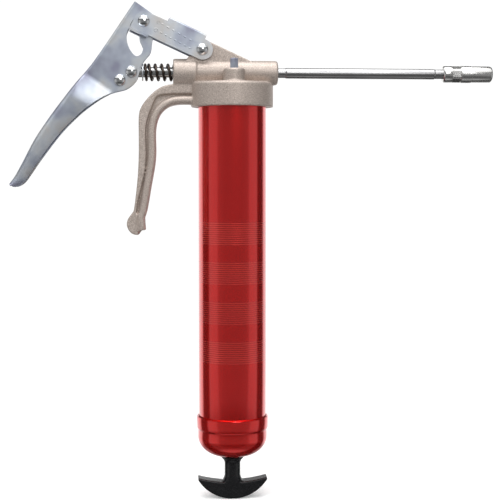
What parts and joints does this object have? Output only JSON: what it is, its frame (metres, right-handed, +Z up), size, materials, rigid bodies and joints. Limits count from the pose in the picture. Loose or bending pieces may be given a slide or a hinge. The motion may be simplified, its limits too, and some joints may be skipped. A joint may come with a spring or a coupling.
{
  "type": "grease gun",
  "caption": "Lever-action grease gun: cast head with grip, squeeze lever on a toggle link, long barrel with a spring follower and T handle, rigid outlet pipe and coupler.",
  "frame": {"origin": "on the barrel's axis, in the plane of the head collar's flat underside", "axes": "+Z up along the barrel's axis away from the T handle, +X along the outlet pipe towards the coupler"},
  "size_m": [0.4055, 0.0684, 0.4175],
  "materials": {
    "cast_head": "satin sand-cast metal, fine grain",
    "enamel_red": "gloss enamel",
    "zinc_sheet": "zinc-plated pressed steel",
    "bright_rivet": "bright plated",
    "spring_steel": "dark oiled spring wire",
    "ground_steel": "ground",
    "pipe_steel": "dull plated tube",
    "nickel": "bright plated",
    "black_plastic": "moulded, slight gloss",
    "rubber": "moulded"
  },
  "bodies": {
    "gun": {"head_casting": "cast_head", "barrel": "enamel_red", "barrel_gasket": "rubber", "end_cap": "enamel_red", "rod_guide": "black_plastic", "follower_spring": "spring_steel", "return_spring": "spring_steel", "plunger_seal": "rubber", "seal_washer": "zinc_sheet", "check_seat": "ground_steel", "outlet_pipe": "pipe_steel", "coupler_body": "nickel", "coupler_sleeve": "nickel", "coupler_spring": "spring_steel", "bleeder_valve": "zinc_sheet", "vent_spring": "spring_steel"},
    "plunger": {"plunger": "ground_steel", "spring_seat": "zinc_sheet"},
    "lever": {"lever": "zinc_sheet", "plunger_rivet": "bright_rivet", "spacer_rivet": "bright_rivet", "spacer_tube": "zinc_sheet"},
    "link": {"link_channel": "zinc_sheet", "link_pivot_rivet": "bright_rivet", "fulcrum_rivet": "bright_rivet", "fulcrum_bush": "ground_steel"},
    "follower": {"follower_cup": "rubber", "follower_plate": "zinc_sheet"},
    "pull_handle": {"pull_rod": "ground_steel", "pull_handle": "black_plastic"},
    "check_ball": {"check_ball": "ground_steel"},
    "coupler_jaws": {"coupler_jaws": "ground_steel", "coupler_seal": "rubber"},
    "vent_pin": {"vent_pin": "ground_steel"}
  },
  "joints": [
    {"name": "plunger_slide", "type": "slide", "parent": "gun", "child": "plunger", "axis": [1, 0, 0], "range_m": [0, 0.016], "deforming": ["return_spring"]},
    {"name": "lever_squeeze", "type": "hinge", "parent": "plunger", "child": "lever", "pos_m": [-0.0838, 0, 0.0285], "axis": [0, -1, 0], "range_deg": [0, 21.06], "stiffness_Nm_per_rad": 2.9, "springref_deg": -17.19},
    {"name": "link_swing", "type": "hinge", "parent": "gun", "child": "link", "pos_m": [-0.0253, 0, 0.047], "axis": [0, 1, 0], "range_deg": [0, 1.23]},
    {"name": "follower_slide", "type": "slide", "parent": "gun", "child": "follower", "axis": [0, 0, -1], "range_m": [0, 0.23], "stiffness_N_per_m": 250, "springref_m": -0.12, "deforming": ["follower_spring"]},
    {"name": "handle_turn", "type": "hinge", "parent": "follower", "child": "pull_handle", "pos_m": [0, 0, -0.3], "axis": [0, 0, 1], "continuous": true},
    {"name": "ball_lift", "type": "slide", "parent": "gun", "child": "check_ball", "axis": [1, 0, 0], "range_m": [0, 0.0015]},
    {"name": "jaw_push", "type": "slide", "parent": "gun", "child": "coupler_jaws", "axis": [-1, 0, 0], "range_m": [0, 0.0015], "stiffness_N_per_m": 4000, "springref_m": -0.002, "deforming": ["coupler_spring"]},
    {"name": "vent_press", "type": "slide", "parent": "gun", "child": "vent_pin", "axis": [0, 0, -1], "range_m": [0, 0.0012], "stiffness_N_per_m": 900, "springref_m": -0.0015, "deforming": ["vent_spring"]}
  ],
  "couplings": [
    {"joint": "plunger_slide", "follows": "lever_squeeze", "m_per_rad": 0.04353},
    {"joint": "link_swing", "follows": "lever_squeeze", "ratio": 0.058215}
  ]
}
